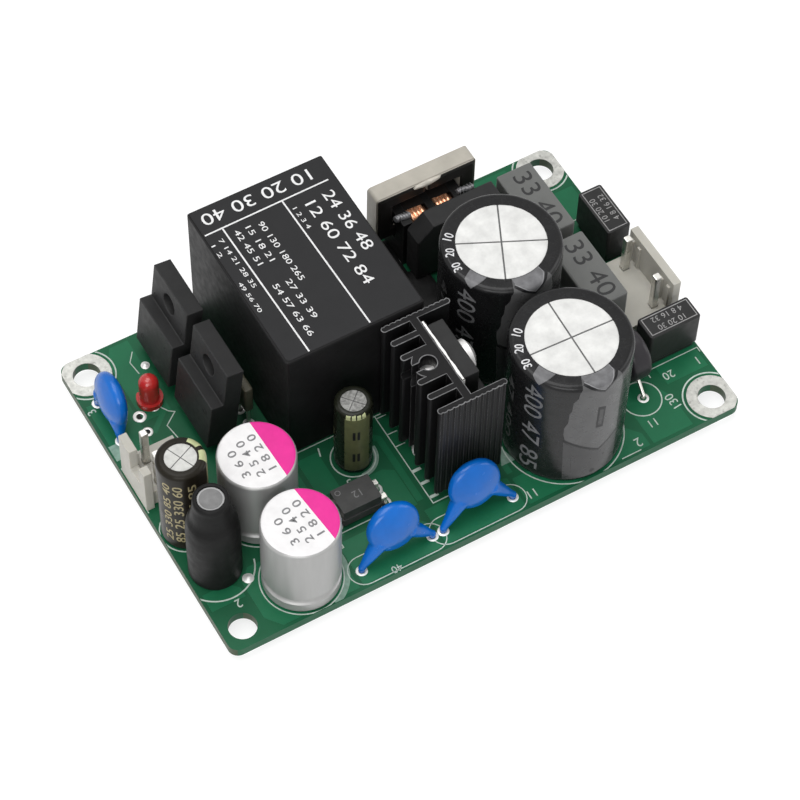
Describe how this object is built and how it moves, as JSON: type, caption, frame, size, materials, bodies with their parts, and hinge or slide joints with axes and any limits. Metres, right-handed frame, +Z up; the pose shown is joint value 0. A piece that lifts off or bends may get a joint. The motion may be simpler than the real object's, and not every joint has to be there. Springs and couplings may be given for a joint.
{
  "type": "power supply module",
  "caption": "Open-frame mains power supply on a green board: covered transformer, finned heat sink, large and small capacitors, fuses, filter choke and pin headers.",
  "frame": {"origin": "centre of the four mounting holes, on the underside of the circuit board", "axes": "+X along the board from the output header to the inlet header, +Y across it to the transformer's edge, +Z up from the board to the parts"},
  "size_m": [0.085, 0.055, 0.0275],
  "materials": {
    "board": "green solder mask, satin",
    "tin": "bright tinned",
    "solder": "satin solder",
    "cover": "matte black",
    "ferrite": "dark fired ferrite",
    "bobbin": "black moulding",
    "copper": "enamelled copper",
    "can": "bright drawn can",
    "sleeve_black": "shrunk film",
    "sleeve_brown": "shrunk film",
    "sleeve_olive": "shrunk film",
    "shrink_tube": "shrunk tube",
    "bung": "moulded",
    "blue_coat": "dipped coating",
    "film_case": "grey moulded case",
    "snubber_case": "grey dipped",
    "fuse_case": "dark moulded case",
    "thermistor_coat": "dark dipped",
    "nylon": "natural nylon",
    "led": "clear red epoxy",
    "package": "moulded epoxy",
    "anodised": "black anodised",
    "screw": "plated",
    "pad": "white sheet"
  },
  "bodies": {
    "root": {"bridge_rectifier": "package", "bulk_can_1": "can", "bulk_can_2": "can", "bulk_sleeve_1": "sleeve_black", "bulk_sleeve_2": "sleeve_black", "capacitor_bungs": "bung", "capacitor_leads": "tin", "choke_bobbin": "bobbin", "choke_core_left": "ferrite", "choke_core_right": "ferrite", "choke_pins": "tin", "choke_winding_left": "copper", "choke_winding_right": "copper", "circuit_board": "board", "controller_chip": "package", "film_capacitor_1": "film_case", "film_capacitor_2": "film_case", "fuse_1": "fuse_case", "fuse_2": "fuse_case", "heat_sink": "anodised", "heat_sink_pin": "tin", "heat_sink_screw": "screw", "inductor_core": "ferrite", "inductor_leads": "tin", "inductor_sleeve": "shrink_tube", "inductor_winding": "copper", "inlet_header": "nylon", "inlet_pins": "tin", "led_lens": "led", "mounting_lands": "tin", "optocoupler": "package", "output_filter_can": "can", "output_filter_sleeve": "sleeve_brown", "output_header": "nylon", "output_pins": "tin", "package_leads": "tin", "polymer_can_1": "can", "polymer_can_2": "can", "primary_winding": "copper", "rectifier_1": "package", "rectifier_2": "package", "safety_capacitor_1": "blue_coat", "safety_capacitor_2": "blue_coat", "safety_capacitor_3": "blue_coat", "secondary_winding": "copper", "snubber_capacitor": "snubber_case", "solder_joints": "solder", "supply_filter_can": "can", "supply_filter_sleeve": "sleeve_olive", "thermal_pad": "pad", "thermistor": "thermistor_coat", "transformer_bobbin": "bobbin", "transformer_core_lower": "ferrite", "transformer_core_upper": "ferrite", "transformer_cover": "cover", "transformer_pins": "tin", "transistor": "package", "wire_leads": "tin"}
  },
  "joints": []
}
